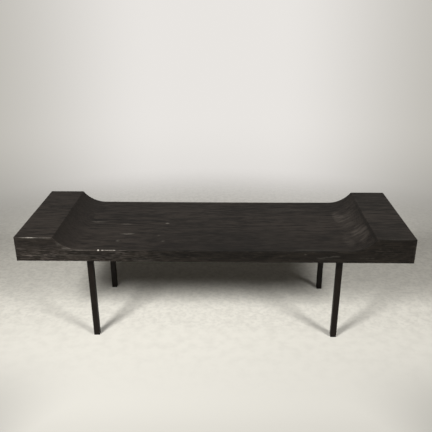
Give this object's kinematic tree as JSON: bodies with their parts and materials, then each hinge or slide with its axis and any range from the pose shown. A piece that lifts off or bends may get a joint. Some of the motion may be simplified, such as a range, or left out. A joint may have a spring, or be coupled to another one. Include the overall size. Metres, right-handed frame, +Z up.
{
  "type": "bench",
  "caption": "Long backless bench: a thick blackened wood slab, hollowed to a flat seat between raised ends with coved inner faces, on slim square black steel legs.",
  "frame": {"origin": "on the floor, under the middle of the slab", "axes": "+X along the bench, +Y from the front towards the back, +Z up"},
  "size_m": [1.6, 0.535, 0.491],
  "materials": {
    "blackened_wood": "blackened solid hardwood, open grain, dull wax sheen, worn arrises",
    "black_steel": "black steel tube, satin",
    "plate_steel": "black steel plate, satin",
    "weld_steel": "painted weld bead",
    "screw_steel": "dark phosphated steel",
    "glide_plastic": "moulded black plastic"
  },
  "bodies": {
    "root": {"seat_slab": "blackened_wood", "leg_front_left": "black_steel", "leg_front_right": "black_steel", "leg_back_left": "black_steel", "leg_back_right": "black_steel", "mounting_plate_front_left": "plate_steel", "mounting_plate_front_right": "plate_steel", "mounting_plate_back_left": "plate_steel", "mounting_plate_back_right": "plate_steel", "weld_bead_front_left": "weld_steel", "weld_bead_front_right": "weld_steel", "weld_bead_back_left": "weld_steel", "weld_bead_back_right": "weld_steel", "foot_glide_front_left": "glide_plastic", "foot_glide_front_right": "glide_plastic", "foot_glide_back_left": "glide_plastic", "foot_glide_back_right": "glide_plastic", "plate_screw_front_left_1": "screw_steel", "plate_screw_front_left_2": "screw_steel", "plate_screw_front_left_3": "screw_steel", "plate_screw_front_left_4": "screw_steel", "plate_screw_front_right_1": "screw_steel", "plate_screw_front_right_2": "screw_steel", "plate_screw_front_right_3": "screw_steel", "plate_screw_front_right_4": "screw_steel", "plate_screw_back_left_1": "screw_steel", "plate_screw_back_left_2": "screw_steel", "plate_screw_back_left_3": "screw_steel", "plate_screw_back_left_4": "screw_steel", "plate_screw_back_right_1": "screw_steel", "plate_screw_back_right_2": "screw_steel", "plate_screw_back_right_3": "screw_steel", "plate_screw_back_right_4": "screw_steel"}
  },
  "joints": []
}
